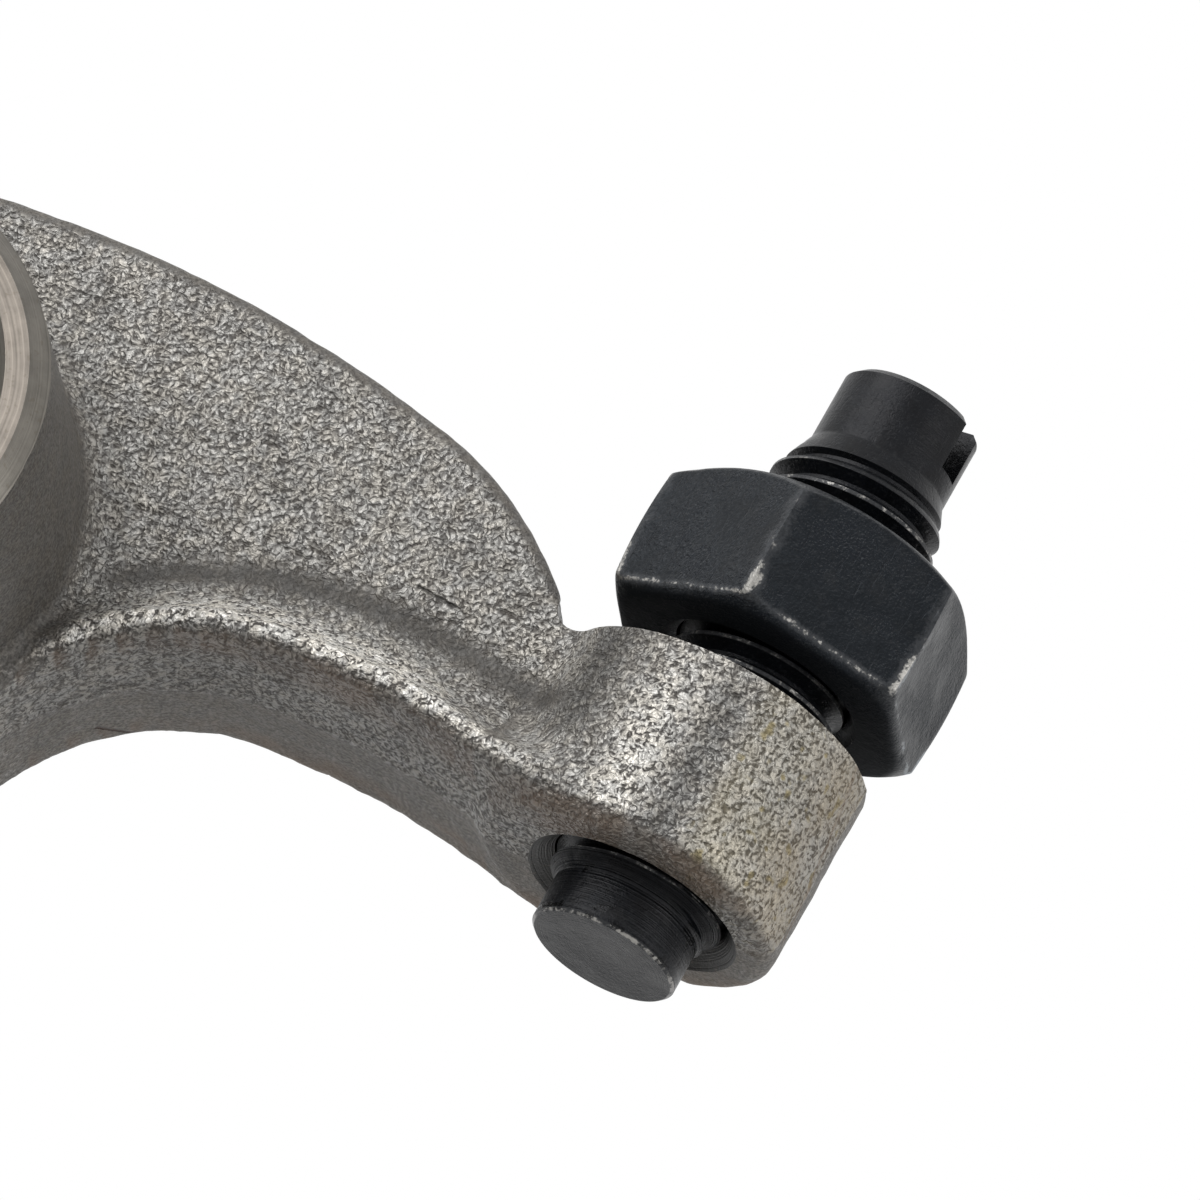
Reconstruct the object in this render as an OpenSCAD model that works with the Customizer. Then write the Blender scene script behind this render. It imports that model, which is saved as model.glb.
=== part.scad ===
// Rocker arm with a screw and lock nut that set the valve clearance.
// Millimetres. The origin is the middle of the shaft bore. Y runs along the bore, X points to
// the adjusting screw and Z points up, along the screw.

/* [Hub] */
// Diameter of the bore that turns on the rocker shaft
bore_d = 17; // [14:0.5:20]
// Distance from the web's middle to the hub's long end
hub_front = 16; // [12:0.5:20]
// Distance from the web's middle to the hub's short end
hub_back = 6.5; // [5.5:0.1:7]
// Wall round the bore at the ends of the hub
hub_wall = 2.1; // [1.6:0.1:3]
// Growth of the hub's radius from its end to the web, for draft
hub_taper = 0.6; // [0.2:0.1:1]
// Turned bevel round each end of the hub
hub_bevel = 0.8; // [0.4:0.1:1.2]
// Bevel at each mouth of the bore
bore_bevel = 0.3; // [0.1:0.1:0.6]
// Radius between the hub and the web
hub_fillet = 1.5; // [0.8:0.1:2.5]
// Wall that the beam carries round the bore
ring_wall = 3.5; // [3:0.1:5]

/* [Web and flange] */
// Thickness of the web
web_t = 6; // [4.6:0.2:7]
// Depth of the hollow between the web's flat and the flange's fillet
web_hollow = 0.25; // [0.1:0.05:0.4]
// Height of the web's crown above the bore's axis
crown_h = 16.8; // [15:0.2:20]
// Radius of the crown, seen from the side
crown_r = 57; // [40:1:60]
// Distance of the crown's highest point from the bore's axis
crown_x = 6.5; // [3:0.5:8]
// Width of the flange where it leaves the hub
flange_w = 9.2; // [8.4:0.2:11]
// Width of the flange where it reaches the boss
flange_end_w = 12; // [11:0.2:12.4]
// Radius of the long fillet between the flange and the web
flange_fillet = 4; // [3:0.1:4.6]
// Thickness of the flange at its rim
rim_t = 0.8; // [0.5:0.1:1.2]
// Rounding of the web's top edges
edge_r = 0.85; // [0.4:0.05:1.2]
// Draft of the underside, in degrees
draft = 3; // [1:0.5:5]

/* [Valve side] */
// Distance of the adjusting screw from the bore's axis
reach = 38; // [36:0.5:44]
// Diameter of the round boss that carries the screw
boss_d = 13.8; // [13:0.2:16]
// Height of the boss after its top is machined
boss_h = 8.8; // [8:0.2:11]
// Distance of the boss's underside below the bore's axis
boss_drop = 0.3; // [0:0.1:2]
// Offset of the boss's outline from the screw, towards the hub
boss_shift = 0.6; // [0:0.1:1]
// Radius between the web and the boss
boss_fillet = 2; // [1:0.1:2.5]
// Rounding of the boss's lower edge
boss_edge = 0.8; // [0.3:0.1:1.2]
// Height of the beam's arch above the boss's underside
arch_rise = 2.1; // [1.5:0.1:3]
// Diameter of the countersink at the lower mouth of the screw hole
countersink_d = 9.6; // [9:0.1:10.4]
// Room between the nut's corners and the wall of its machined seat
seat_room = 1.2; // [0.6:0.1:2]
// Radius at the foot of the seat's wall
seat_r = 1; // [0.5:0.1:1.5]

/* [Cam side] */
// Distance of the rubbing pad's middle from the bore's axis
pad_reach = 27; // [26:0.5:32]
// Width of the rubbing pad, along the bore
pad_w = 15; // [13:0.5:18]
// Length of the rubbing pad
pad_l = 15; // [13:0.5:16]
// Thickness of the rubbing pad at its middle
pad_t = 3.4; // [3:0.1:4.4]
// Radius of the rubbing face
pad_r = 22; // [18:1:30]
// Distance of the rubbing face below the bore's axis
pad_drop = 8; // [7:0.5:9]
// Rounding of the pad's corners
pad_corner = 1.5; // [0.8:0.1:2]

/* [Adjusting screw] */
// Outer diameter of the thread
thread_d = 7.8; // [7:0.1:8]
// Whole length of the screw
screw_l = 28; // [26:0.5:32]
// Distance that the screw stands out below the boss
tip_out = 2.7; // [2:0.1:4]
// Diameter of the plain tip
tip_d = 6.6; // [5.6:0.1:6.8]
// Length of the plain tip
tip_l = 2.2; // [1.5:0.1:3]
// Diameter of the turned neck at the upper end
neck_d = 6.2; // [5:0.1:6.4]
// Length of the turned neck
neck_l = 3.4; // [2:0.1:5]
// Width of the screwdriver slot
slot_w = 1.4; // [1:0.1:2]
// Depth of the screwdriver slot
slot_depth = 2.5; // [1.5:0.1:3]
// Angle of the slot from the line to the hub, in degrees
slot_turn = -16; // [-90:1:90]

/* [Lock nut] */
// Width of the nut across its flats
nut_w = 13; // [12:0.5:14]
// Height of the nut
nut_h = 6.5; // [5:0.1:8]
// Gap between the boss and the nut, which is run up off its seat
nut_gap = 2.3; // [0:0.1:3]
// Angle of the nut, in degrees
nut_turn = -1.8; // [-30:0.1:30]

/* [Fits] */
// Gap all round between the screw's thread and the threads it runs in, drawn plain
thread_gap = 0.1; // [0.05:0.01:0.2]

/* [Hidden] */
$fn = 96;

bore_r = bore_d / 2;
hub_end_r = bore_r + hub_wall;
hub_root_r = hub_end_r + hub_taper;
ring_r = bore_r + ring_wall;
half_web = web_t / 2;

boss_r = boss_d / 2;
boss_x = reach - boss_shift;
boss_top = boss_h - boss_drop;
thread_r = thread_d / 2;
hole_r = thread_r + thread_gap;
nut_corner_r = nut_w / sqrt(3);
seat_d = 2 * (nut_corner_r + seat_room);

screw_z = -boss_drop - tip_out;
nut_z = boss_top + nut_gap;
bevel = 0.3;
cut = 1;

// Slope of the beam's flanks under the hub, and fall of the web from its crown, in degrees
flank = 62;
crown_fall = 13.5;
// Radii of the bends in the arm's outline, seen from the side
pad_bend = 1;
toe_bend = 3.5;
heel_bend = 11;
arch_bend = 33;
foot_bend = 8;
shoulder_bend = 16;
// Distances from the boss's outline, along the arm, to the corners of those bends
arch_run = 6.6;
foot_run = 1.7;
shoulder_run = 6;
// Distance of the crown's fall to the pad from the pad's middle, and of the bend under the hub
// below the arch
back_run = 11;
heel_drop = 1.5;
// Distances of the web's foot from the pad's heel and from its end, and its height there
pad_step = 0.4;
pad_land = 2;
toe_h = 4.2;
// Depth to which the flange runs down into the pad
pad_sink = 1.5;
// Depth that one part of the casting runs into another
sunk = 0.05;
inlay = 0.1;
// Rounding of the flange's rim, and height over which the hollow runs out on the web's flat
rim_edge = 0.3;
hollow_l = 1.2;
// Length over which the screw's thread runs out below its neck
run_out = 1.9;

function unit(v) = v / norm(v);

// Points of the arc that rounds the corner b between the lines to a and to c
function rounded(a, b, c, r, n = 12) =
    let (u = unit(a - b), v = unit(c - b))
    let (half = acos(u * v) / 2)
    let (m = b + unit(u + v) * r / sin(half))
    let (p = b + u * r / tan(half) - m, q = b + v * r / tan(half) - m)
    let (start = atan2(p.y, p.x), sweep = atan2(q.y, q.x) - start)
    let (turn = sweep > 180 ? sweep - 360 : (sweep < -180 ? sweep + 360 : sweep))
    [for (i = [0:n]) m + r * [cos(start + turn * i / n), sin(start + turn * i / n)]];

// A line of corners [x, z, radius] as points, each corner rounded to its radius
function path(k) = [
    for (i = [0:len(k) - 1])
        each (i == 0 || i == len(k) - 1 || k[i][2] == 0)
            ? [[k[i].x, k[i].y]]
            : rounded([k[i - 1].x, k[i - 1].y], [k[i].x, k[i].y], [k[i + 1].x, k[i + 1].y], k[i][2])
];

// Place on the flank of the ring under the hub at the height z, on the valve side
function flank_x(z) = (z + ring_r / cos(flank)) / tan(flank);

pad_end = pad_reach + pad_l / 2;
pad_heel = pad_reach - pad_l / 2;
pad_floor = pad_t - pad_drop - pad_sink;
boss_floor = sunk - boss_drop;
boss_start = reach - boss_r;
heel_z = boss_floor + arch_rise - heel_drop;
toe_z = 0.2;

// The beam's underside in the middle plane, from the pad to the boss
underside = path([
    [pad_land - pad_end, pad_floor, 0],
    [pad_step - pad_heel, pad_floor, pad_bend],
    [-flank_x(toe_z), toe_z, toe_bend],
    [0, -ring_r / cos(flank), ring_r],
    [flank_x(heel_z), heel_z, heel_bend],
    [boss_start - arch_run, boss_floor + arch_rise, arch_bend],
    [boss_start + foot_run, boss_floor, foot_bend],
    [reach + cut, boss_floor, 0]
]);

// The web's top edge in the middle plane, from the pad to the boss; the nut's seat is cut from
// the end of it
crown_z = crown_h + crown_r * (1 / cos(crown_fall) - 1);
shoulder_x = boss_start - shoulder_run;
back_x = back_run - pad_reach;
end_z = boss_top + seat_r / 2;
top_edge = path([
    [pad_land - pad_end, pad_floor + toe_h, 0],
    [back_x, crown_z - (crown_x - back_x) * tan(crown_fall), shoulder_bend],
    [crown_x, crown_z, crown_r],
    [shoulder_x, crown_z - (shoulder_x - crown_x) * tan(crown_fall), shoulder_bend],
    [boss_start - bevel, end_z, 0],
    [reach + cut, end_z, 0]
]);

function floor_z(x) = lookup(x, underside);
function crown_at(x) = lookup(x, top_edge);
function steepness(x) = norm([1, (floor_z(x + 0.1) - floor_z(x - 0.1)) / 0.2]);

// Half width of the flange: narrow at the hub, as wide as the boss and the pad at the two ends
function half_flange(x) = lookup(x, [
    [pad_step - pad_heel, pad_w / 2 - pad_step],
    [-ring_r, flange_w / 2],
    [ring_r, flange_w / 2],
    [boss_start, flange_end_w / 2],
    [boss_x, boss_r - inlay]
]);

// Plan of the web's side: flat, then a fillet that runs out on the boss
inner_r = boss_r - inlay;
fillet_x = boss_x - sqrt(pow(inner_r + boss_fillet, 2) - pow(half_web + boss_fillet, 2));
fillet_turn = asin((boss_x - fillet_x) / (inner_r + boss_fillet));
fillet_end = fillet_x + boss_fillet * sin(fillet_turn);
function half_side(x) =
    x <= fillet_x ? half_web
    : x <= fillet_end ? half_web + boss_fillet - sqrt(pow(boss_fillet, 2) - pow(x - fillet_x, 2))
    : sqrt(pow(inner_r, 2) - pow(x - boss_x, 2));

// One section across the arm at x: the flange's floor, its rim, the long fillet, the web and its
// rounded top, as [half width, height] from the middle of the floor to the middle of the top
fillet_steps = 6;
function half_section(x) =
    let (z0 = floor_z(x), z1 = crown_at(x), f = half_flange(x))
    let (t = min(half_side(x), f - web_hollow), hollow = t - web_hollow)
    let (swing = acos(max(0, 1 - (f - hollow) / flange_fillet)))
    let (rise = rim_t + flange_fillet * sin(swing))
    let (rim_z = z0 + f * tan(draft) + rim_edge)
    let (k = min(steepness(x), (z1 - edge_r - rim_z) / (rise + 2 * hollow_l)))
    concat(
        [[0, z0], [f - rim_edge, rim_z - rim_edge], [f, rim_z]],
        [for (i = [0:fillet_steps]) let (a = swing * (1 - i / fillet_steps)) [
            hollow + flange_fillet * (1 - cos(a)),
            rim_z + k * (rise - flange_fillet * sin(a))
        ]],
        [[t, rim_z + k * (rise + hollow_l)]],
        [for (a = [0, 45, 90]) [t - edge_r * (1 - cos(a)), z1 - edge_r * (1 - sin(a))]],
        [[0, z1]]
    );

// The whole section as a closed ring of points
function ring(x) =
    let (h = half_section(x), n = len(h))
    concat([for (p = h) [x, -p.x, p.y]], [for (i = [n - 2:-1:1]) [x, h[i].x, h[i].y]]);

function steps(a, b, n) = [for (i = [0:n - 1]) a + (b - a) * i / n];

ring_edge = ring_r * sin(flank);
bend_end = ring_edge + ring_r / 2;
stations = concat(
    steps(pad_land - pad_end, pad_step - pad_heel, 7),
    steps(pad_step - pad_heel, -ring_edge, 12),
    [for (a = [-flank:flank / 6:flank - 1]) ring_r * sin(a)],
    steps(ring_edge, bend_end, 9),
    steps(bend_end, fillet_x, 9),
    [for (i = [0:4]) fillet_x + boss_fillet * sin(fillet_turn * i / 4)],
    [(fillet_end + boss_x) / 2, boss_x - bevel]
);

module loft(rings) {
    n = len(rings[0]);
    last = len(rings) - 1;
    polyhedron(
        points = [for (r = rings) each r],
        faces = concat(
            [[for (j = [n - 1:-1:0]) j]],
            [[for (j = [0:n - 1]) last * n + j]],
            [for (i = [0:last - 1], j = [0:n - 1]) let (k = (j + 1) % n)
                [i * n + j, i * n + k, (i + 1) * n + k, (i + 1) * n + j]]
        ),
        convexity = 8
    );
}

// A solid of revolution about the bore's axis, from a profile of [radius, place along Y]
module round_the_bore() {
    rotate([-90, 0, 0]) rotate_extrude() children();
}

module hub_profile(l) {
    polygon([
        [0, -l],
        [hub_end_r - hub_bevel, -l],
        [hub_end_r, hub_bevel - l],
        [hub_root_r, -half_web],
        [hub_root_r, 0],
        [0, 0]
    ]);
}

module hub_root_profile() {
    difference() {
        translate([hub_root_r - cut, -half_web - hub_fillet])
            square([cut + hub_fillet, hub_fillet + web_hollow]);
        translate([hub_root_r + hub_fillet, -half_web - hub_fillet])
            circle(r = hub_fillet);
    }
}

// The hub, with a fillet to the web that ends where the flange takes over
module hub() {
    wide = 2 * ring_r;
    for (side = [0, 1]) mirror([0, side, 0]) {
        round_the_bore() hub_profile(side == 0 ? hub_front : hub_back);
        intersection() {
            round_the_bore() hub_root_profile();
            translate([-wide, -wide, -hub_root_r * cos(80)]) cube([2 * wide, wide, wide]);
        }
    }
}

module boss() {
    translate([boss_x, 0, -boss_drop]) rotate_extrude() {
        translate([0, boss_edge]) square([boss_r, boss_h - boss_edge + cut]);
        square([boss_r - boss_edge, boss_h]);
        translate([boss_r - boss_edge, boss_edge]) circle(r = boss_edge);
    }
}

module pad_plan() {
    inset = pad_corner;
    translate([-pad_end + inset, -pad_w / 2]) square([pad_l - 2 * inset, pad_w]);
    translate([-pad_end, inset - pad_w / 2]) square([pad_l, pad_w - 2 * inset]);
    for (x = [inset - pad_end, -pad_heel - inset], y = [-1, 1])
        translate([x, y * (pad_w / 2 - inset)]) circle(r = inset);
}

module pad() {
    intersection() {
        translate([0, 0, -pad_drop - cut]) linear_extrude(pad_t + cut) pad_plan();
        translate([-pad_reach, pad_w, pad_r - pad_drop]) rotate([90, 0, 0])
            cylinder(r = pad_r, h = 2 * pad_w, $fn = 180);
    }
}

// The machined seat of the nut: a flat with a radius at the foot of its wall
module nut_seat() {
    translate([reach, 0, boss_top]) rotate_extrude() {
        translate([0, seat_r]) square([seat_d / 2, crown_h]);
        square([seat_d / 2 - seat_r, crown_h]);
        translate([seat_d / 2 - seat_r, seat_r]) circle(r = seat_r);
    }
}

module screw_hole() {
    depth = countersink_d / 2 - hole_r;
    translate([reach, 0, -boss_drop - cut]) cylinder(r = hole_r, h = boss_h + 2 * cut);
    translate([reach, 0, -boss_drop - cut])
        cylinder(r1 = countersink_d / 2 + cut, r2 = hole_r, h = depth + cut);
}

module shaft_bore() {
    mouth = bore_r + bore_bevel;
    translate([0, -hub_front - cut, 0]) rotate([-90, 0, 0])
        cylinder(r = bore_r, h = hub_front + hub_back + 2 * cut);
    for (side = [0, 1]) mirror([0, side, 0])
        translate([0, -(side == 0 ? hub_front : hub_back) - cut, 0]) rotate([-90, 0, 0])
            cylinder(r1 = mouth + cut, r2 = bore_r, h = bore_bevel + cut);
}

module arm_casting() {
    color("dimgray") difference() {
        union() {
            loft([for (x = stations) ring(x)]);
            hub();
            boss();
            pad();
        }
        shaft_bore();
        nut_seat();
        screw_hole();
    }
}

module adjusting_screw() {
    tip_r = tip_d / 2;
    neck_r = neck_d / 2;
    neck_z = screw_l - neck_l;
    color("#1b1c1e") translate([reach, 0, screw_z]) difference() {
        rotate_extrude() polygon([
            [0, 0],
            [tip_r - bevel / 2, 0],
            [tip_r, bevel / 2],
            [tip_r, tip_l],
            [thread_r, tip_l + thread_r - tip_r],
            [thread_r, neck_z - run_out],
            [neck_r, neck_z],
            [neck_r, screw_l - bevel],
            [neck_r - bevel, screw_l],
            [0, screw_l]
        ]);
        rotate(slot_turn) translate([-thread_d, -slot_w / 2, screw_l - slot_depth])
            cube([2 * thread_d, slot_w, slot_depth + cut]);
    }
}

// The nut's corners are turned back by cones on both faces
module nut_body() {
    face_r = nut_w / 2 - bevel / 2;
    fall = (nut_corner_r - face_r) * tan(30);
    intersection() {
        cylinder(r = nut_corner_r, h = nut_h, $fn = 6);
        rotate_extrude() polygon([
            [0, 0],
            [face_r, 0],
            [nut_corner_r + cut * cos(30), fall + cut * sin(30)],
            [nut_corner_r + cut * cos(30), nut_h - fall - cut * sin(30)],
            [face_r, nut_h],
            [0, nut_h]
        ]);
    }
}

module lock_nut() {
    mouth = hole_r + 2 * bevel;
    color("#202226") translate([reach, 0, nut_z]) rotate(nut_turn + 30) difference() {
        nut_body();
        translate([0, 0, -cut]) cylinder(r = hole_r, h = nut_h + 2 * cut);
        for (side = [0, 1]) translate([0, 0, side * nut_h]) mirror([0, 0, side]) translate([0, 0, -cut])
            cylinder(r1 = mouth + cut, r2 = hole_r, h = mouth - hole_r + cut);
    }
}

arm_casting();
adjusting_screw();
lock_nut();
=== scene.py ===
"""Rocker arm with its adjusting screw and lock nut, dressed for a picture.

The shapes are worked out in millimetres and turned to metres when a piece is finished.
"""

import math

import bmesh
import bpy
from mathutils import Matrix, Vector, noise


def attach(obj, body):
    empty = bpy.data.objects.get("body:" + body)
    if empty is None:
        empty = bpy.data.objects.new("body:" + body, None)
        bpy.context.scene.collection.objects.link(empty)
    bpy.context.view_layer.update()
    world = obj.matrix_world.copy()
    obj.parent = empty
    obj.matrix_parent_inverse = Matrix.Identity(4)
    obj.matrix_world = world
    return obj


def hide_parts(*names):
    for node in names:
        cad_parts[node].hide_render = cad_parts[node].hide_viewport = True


bl_info = {
    "name": "Rocker arm",
    "version": (1, 0, 0),
    "blender": (4, 5, 0),
    "location": "View3D > Sidebar > Rocker arm",
    "description": "Dresses a rocker arm, its adjusting screw and its lock nut",
    "category": "Object",
}

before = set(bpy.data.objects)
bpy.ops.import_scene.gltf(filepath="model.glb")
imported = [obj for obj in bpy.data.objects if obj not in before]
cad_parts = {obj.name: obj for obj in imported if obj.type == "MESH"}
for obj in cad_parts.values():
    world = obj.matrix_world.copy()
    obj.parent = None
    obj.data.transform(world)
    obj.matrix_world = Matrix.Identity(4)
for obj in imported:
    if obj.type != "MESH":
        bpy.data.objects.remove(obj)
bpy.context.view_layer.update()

MM = 0.001
# Sizes of the solids, in millimetres, that the finish is cut to
BORE_R = 8.5
HUB_END_R = 10.6
HUB_ROOT_R = 11.2
HUB_FRONT = -16.0
HUB_BACK = 6.5
HUB_BEVEL = 0.8
BORE_BEVEL = 0.3
HALF_WEB = 3.0
SCREW_X = 38.0
BOSS_FLOOR = -0.3
BOSS_TOP = 8.5
HOLE_R = 4.0
COUNTERSINK_R = 4.8
SEAT_R = 8.706
SEAT_FOOT = 1.0
THREAD_R = 3.9
TIP_R = 3.3
NECK_R = 3.1
SCREW_LOW = -3.0
SCREW_HIGH = 25.0
TIP_END = -0.8
NECK_START = 21.6
RUN_OUT = 1.9
NUT_W = 13.0
NUT_LOW = 10.8
NUT_H = 6.5
PAD_X = 27.0
PAD_L = 15.0
PAD_R = 22.0
PAD_DROP = 8.0
# Places on the casting that have their own shape, marks, skin, painted shade and painted highlight, in millimetres
FLANK = (4.6, 6.2)
CHEEK_X = 37.0
GROOVE_X = 39.3
NECK_X = 33.4
SWELL_X = 36.8
VALLEY_X = 23.0
NICK = ((24.2, -3.0, 7.6), (26.0, -3.0, 7.42))
SCRATCH = ((13.5, 3.0, -1.4), (15.2, 5.0, -0.1))
FLASH = ((43.9, -1.9, 8.4), (44.2, 0.6, 1.2))
SKIN_VALUES = ("fine", "painted_shade", "painted_highlight", "stain", "rusty", "ground")
# How far the nut's lower face is over its solid's, so that they never lie in one plane
NUT_CLEAR = 0.03
# What the camera looks at, in millimetres
VIEW_TARGET = (30.37, 0, 11.55)
# The stage, in metres, and lamp directions along the camera's right, up and back
FLOOR_Z = -6.0
FLOOR_HALF = 14.0
LIT_SPOT = (0.02, 0, 0.01)
KEY_FROM = (-0.4, 0.85, 0.4)
FILL_FROM = (0.75, -0.1, 0.65)
FILL_SHARE = 0.4
FILM_WIDTH = 36


def srgb(red, green, blue):
    """A colour picked as 0 to 255, as the linear values that a shader takes."""
    return tuple(
        c / 12.92 if c <= 0.04045 else ((c + 0.055) / 1.055) ** 2.4
        for c in (red / 255, green / 255, blue / 255)
    ) + (1.0,)


def length(name, description, default):
    """A property for a length, given here in millimetres."""
    return bpy.props.FloatProperty(
        name=name, description=description, default=default * MM, min=0.0, unit="LENGTH", precision=5
    )


def angle(name, description, default):
    """A property for an angle, given here in degrees."""
    return bpy.props.FloatProperty(
        name=name, description=description, default=math.radians(default), subtype="ANGLE"
    )


def share(name, description, default):
    return bpy.props.FloatProperty(
        name=name, description=description, default=default, min=0.0, max=1.0, subtype="FACTOR"
    )


def colour(name, description, default):
    return bpy.props.FloatVectorProperty(
        name=name, description=description, default=srgb(*default), size=4, min=0.0, max=1.0, subtype="COLOR"
    )


class ArmSettings(bpy.types.PropertyGroup):
    grid: length("Skin grid", "Spacing of the mesh over the cast skin", 0.27)
    unevenness: length("Unevenness", "Height of the slow waves in the cast skin", 0.05)
    grain: length("Grain", "Width of one grain of the cast skin", 0.34)
    relief: length("Relief", "Depth of the grain", 0.15)
    # Ridges and Pits colour the ends of the grain's tone, which carries painted light and shade on the grains' sides
    # as well as the grain.
    ridge: colour("Ridges", "Colour of the grain's tops", (180, 177, 171))
    skin: colour("Skin", "Middle colour of the cast skin", (134, 131, 127))
    pit: colour("Pits", "Colour of the cracks between the grains", (84, 80, 76))
    rust: colour("Rust", "Colour of the brown strip along the flange", (116, 92, 70))
    olive: colour("Stain", "Colour of the yellow specks on the boss", (146, 134, 98))
    face: colour("End face", "Colour of the hub's ground end face", (121, 114, 106))
    turned: colour("Turned bevel", "Colour of the turned bevel", (113, 109, 102))


class ScrewSettings(bpy.types.PropertyGroup):
    pitch: length("Pitch", "Pitch of the thread", 1.0)
    depth: length("Depth", "Depth of the thread", 0.6)
    slot_w: length("Slot width", "Width of the screwdriver slot", 1.4)
    slot_depth: length("Slot depth", "Depth of the screwdriver slot", 2.5)
    slot_turn: angle("Slot angle", "Angle of the slot from the line to the hub", -16)
    oxide: colour("Oxide", "Colour of the screw's black oxide", (9, 9, 10))
    worn: share("Wear", "How much bare steel shows at the edges", 0.4)


class NutSettings(bpy.types.PropertyGroup):
    turn: angle("Angle", "Angle of the nut on the screw", -1.8)
    edge: length("Edge", "Rounding of the nut's edges", 0.16)
    low_edge: length("Lower edge", "Rounding of the flats into the lower face", 0.6)
    bulge: length("Bulge", "How far the corners stand out at the nut's middle", 0.2)
    oxide: colour("Oxide", "Colour of the nut's black oxide", (6, 8, 10))
    worn: share("Wear", "How much bare steel shows at the edges", 0.5)


class StageSettings(bpy.types.PropertyGroup):
    azimuth: angle("Azimuth", "Direction of the camera round the part", 16)
    elevation: angle("Elevation", "Height of the camera, below the part where negative", -22.2)
    roll: angle("Roll", "Turn of the camera about its own axis", 29.75)
    across: length("View width", "Width of what the camera sees at the part", 49.48)
    distance: bpy.props.FloatProperty(
        name="Distance", description="Distance of the camera from the part", default=2.0, unit="LENGTH"
    )
    key: bpy.props.FloatProperty(name="Key light", description="Power of the main lamp", default=9.5, unit="POWER")
    surround: share("Surround", "Light from the studio all round", 0.27)
    floor: colour("Floor", "Colour of the floor", (232, 232, 230))


# ---------------- mesh tools

def smooth(low, high, value):
    """0 at low, 1 at high, and an easy curve between; low may be the larger."""
    t = min(1.0, max(0.0, (value - low) / (high - low)))
    return t * t * (3 - 2 * t)


def bell(value, middle, width):
    """1 at the middle, falling to about a third at a width from it."""
    return math.exp(-((value - middle) / width) ** 2)


def lathe(profile, steps, place=Matrix(), finishes=None):
    """A closed body turned about Z from a profile of (radius, height), then put in its place."""
    bm = bmesh.new()
    points = [bm.verts.new((r, 0, z)) for r, z in profile]
    edges = [bm.edges.new(pair) for pair in zip(points, points[1:])]
    bmesh.ops.spin(
        bm, geom=points + edges, cent=(0, 0, 0), axis=(0, 0, 1),
        angle=2 * math.pi, steps=steps, use_merge=True
    )
    bmesh.ops.remove_doubles(bm, verts=bm.verts, dist=1e-4)
    bmesh.ops.recalc_face_normals(bm, faces=bm.faces)
    if finishes:
        for face in bm.faces:
            middle = face.calc_center_median()
            at = Vector((math.hypot(middle.x, middle.y), middle.z))
            nearest = min(range(len(finishes)), key=lambda i: off_line(at, profile[i], profile[i + 1]))
            face.material_index = finishes[nearest]
    bmesh.ops.transform(bm, matrix=place, verts=bm.verts)
    return bm


def off_line(point, a, b):
    """Distance of a point from the line between a and b."""
    a, b = Vector(a), Vector(b)
    along = b - a
    t = min(1.0, max(0.0, (point - a).dot(along) / along.length_squared))
    return (a + along * t - point).length


def add_to(bm, other):
    """Puts another bmesh's shape beside bm's own."""
    mesh = bpy.data.meshes.new("part")
    other.to_mesh(mesh)
    other.free()
    bm.from_mesh(mesh)
    bpy.data.meshes.remove(mesh)


def solid_of(node):
    """A copy of a solid's mesh in millimetres, with its loose triangles joined."""
    bm = bmesh.new()
    bm.from_mesh(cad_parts[node].data)
    bmesh.ops.scale(bm, vec=Vector((1, 1, 1)) / MM, verts=bm.verts)
    bmesh.ops.remove_doubles(bm, verts=bm.verts, dist=0.002)
    return bm


def piece_from(bm, name, materials):
    mesh = bpy.data.meshes.new(name)
    bm.to_mesh(mesh)
    bm.free()
    for material in materials:
        mesh.materials.append(material)
    piece = bpy.data.objects.new(name, mesh)
    bpy.context.scene.collection.objects.link(piece)
    return piece


def apply(piece, kind, **settings):
    """Makes one modifier part of the piece's mesh."""
    modifier = piece.modifiers.new(kind.title(), kind)
    for key, value in settings.items():
        setattr(modifier, key, value)
    shaped = bpy.data.meshes.new_from_object(piece.evaluated_get(bpy.context.evaluated_depsgraph_get()))
    piece.modifiers.clear()
    old, piece.data = piece.data, shaped
    bpy.data.meshes.remove(old)
    shaped.name = piece.name


def cut(piece, tool_bm, materials):
    """Cuts a tool's shape out of the piece; the cut faces take the tool's finishes."""
    tool = piece_from(tool_bm, "tool", materials)
    apply(piece, "BOOLEAN", operation="DIFFERENCE", solver="MANIFOLD", object=tool, material_mode="TRANSFER")
    mesh = tool.data
    bpy.data.objects.remove(tool)
    bpy.data.meshes.remove(mesh)


def deliver(piece, node, body, angle):
    """Gives a shaped piece its metres, its shading and its place in the frame."""
    mesh = piece.data
    mesh.transform(Matrix.Scale(MM, 4))
    mesh.shade_smooth()
    mesh.set_sharp_from_angle(angle=math.radians(angle))
    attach(piece, body)
    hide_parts(node)


# ---------------- material tools

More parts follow.
